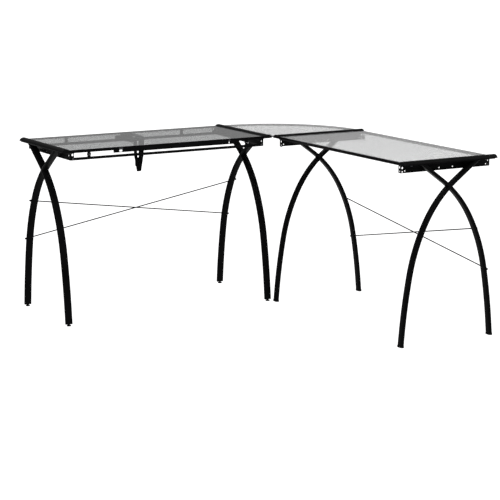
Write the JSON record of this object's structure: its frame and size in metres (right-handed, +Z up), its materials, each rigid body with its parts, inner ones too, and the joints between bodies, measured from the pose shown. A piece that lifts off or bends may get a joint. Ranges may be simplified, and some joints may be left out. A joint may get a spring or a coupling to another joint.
{
  "type": "corner computer desk",
  "caption": "L-shaped desk with a tilting glass table, a fixed glass table and a quarter-round glass corner on crossed, bent oval tube legs with diagonal brace rods.",
  "frame": {"origin": "centre of the desk's footprint, on the floor", "axes": "+X along the tilting table from its free end to the corner, +Y from the user to that table's back, +Z up; the fixed table runs along -Y"},
  "size_m": [1.5178, 1.5178, 0.772],
  "materials": {
    "black_metal": "semi-gloss black powder coat",
    "black_plastic": "moulded, fine grain",
    "black_rubber": "matte",
    "dark_steel": "black oxide",
    "tinted_glass": "polished tempered glass, grey",
    "clear_glass": "polished tempered glass"
  },
  "bodies": {
    "frame": {"tilt_left_front_leg": "black_metal", "tilt_left_back_leg": "black_metal", "tilt_right_front_leg": "black_metal", "tilt_right_back_leg": "black_metal", "fixed_far_front_leg": "black_metal", "fixed_far_back_leg": "black_metal", "fixed_near_front_leg": "black_metal", "fixed_near_back_leg": "black_metal", "tilt_leg_plugs": "black_plastic", "fixed_leg_caps": "black_plastic", "tilt_left_end_plate": "black_metal", "tilt_right_end_plate": "black_metal", "fixed_far_end_plate": "black_metal", "fixed_near_end_plate": "black_metal", "fixed_far_bar": "black_metal", "fixed_near_bar": "black_metal", "fixed_bar_caps": "black_plastic", "fixed_bar_screws": "dark_steel", "fixed_front_rail": "black_metal", "fixed_back_rail": "black_metal", "fixed_glass": "clear_glass", "corner_glass": "clear_glass", "fixed_glass_pads": "black_rubber", "corner_tabs": "black_metal", "corner_pads": "black_rubber", "corner_rail": "black_metal", "base_front_rail": "black_metal", "base_back_rail": "black_metal", "base_rail_screws": "dark_steel", "hinge_lower_leaves": "black_metal", "hinge_pins": "dark_steel", "rest_posts": "black_metal", "rest_pads": "black_rubber", "guide_arm": "black_metal", "tilt_brace_a": "black_metal", "tilt_brace_b": "black_metal", "fixed_brace_a": "black_metal", "fixed_brace_b": "black_metal", "brace_nuts": "black_metal"},
    "top": {"tilt_left_bar": "black_metal", "tilt_right_bar": "black_metal", "tilt_bar_caps": "black_plastic", "tilt_front_rail": "black_metal", "tilt_back_rail": "black_metal", "tilt_glass": "tinted_glass", "tilt_glass_pads": "black_rubber", "hinge_upper_leaves": "black_metal", "stay_arm": "black_metal", "strut_pin": "dark_steel", "ledge_screws": "dark_steel"},
    "ledge": {"pencil_ledge": "black_metal"},
    "swivel": {"swivel_bracket": "black_metal", "bracket_pins": "dark_steel"},
    "lever": {"release_lever": "black_metal"},
    "slide": {"strut_slide": "black_metal"},
    "strut": {"ratchet_strut": "black_metal"},
    "foot_1": {"leveller_1": "black_plastic"},
    "foot_2": {"leveller_2": "black_plastic"},
    "foot_3": {"leveller_3": "black_plastic"},
    "foot_4": {"leveller_4": "black_plastic"}
  },
  "joints": [
    {"name": "tilt", "type": "hinge", "parent": "frame", "child": "top", "pos_m": [-0.23357, 0.2984, 0.744], "axis": [1, 0, 0], "range_deg": [0, 35]},
    {"name": "bracket_swing", "type": "hinge", "parent": "frame", "child": "swivel", "pos_m": [-0.23357, 0.6144, 0.735], "axis": [1, 0, 0], "range_deg": [0, 17.5]},
    {"name": "strut_swing", "type": "hinge", "parent": "top", "child": "strut", "pos_m": [-0.23357, 0.6144, 0.75], "axis": [-1, 0, 0], "range_deg": [0, 18]},
    {"name": "strut_extend", "type": "slide", "parent": "swivel", "child": "slide", "axis": [0, 0, 1], "range_m": [0, 0.1]},
    {"name": "release_squeeze", "type": "hinge", "parent": "swivel", "child": "lever", "pos_m": [-0.23357, 0.6144, 0.735], "axis": [-1, 0, 0], "range_deg": [0, 12], "stiffness_Nm_per_rad": 0.4, "springref_deg": -4.58},
    {"name": "ledge_raise", "type": "slide", "parent": "top", "child": "ledge", "axis": [0, 0, 1], "range_m": [0, 0.012]},
    {"name": "foot_1_turn", "type": "hinge", "parent": "frame", "child": "foot_1", "pos_m": [-0.73357, 0.29542, 0.004], "axis": [0, 0, 1], "continuous": true},
    {"name": "foot_2_turn", "type": "hinge", "parent": "frame", "child": "foot_2", "pos_m": [-0.73357, 0.74939, 0.004], "axis": [0, 0, 1], "continuous": true},
    {"name": "foot_3_turn", "type": "hinge", "parent": "frame", "child": "foot_3", "pos_m": [0.26643, 0.29542, 0.004], "axis": [0, 0, 1], "continuous": true},
    {"name": "foot_4_turn", "type": "hinge", "parent": "frame", "child": "foot_4", "pos_m": [0.26643, 0.74939, 0.004], "axis": [0, 0, 1], "continuous": true}
  ],
  "couplings": [
    {"joint": "bracket_swing", "follows": "tilt", "ratio": 0.493},
    {"joint": "strut_swing", "follows": "tilt", "ratio": 0.507},
    {"joint": "strut_extend", "follows": "tilt", "m_per_rad": 0.16}
  ]
}
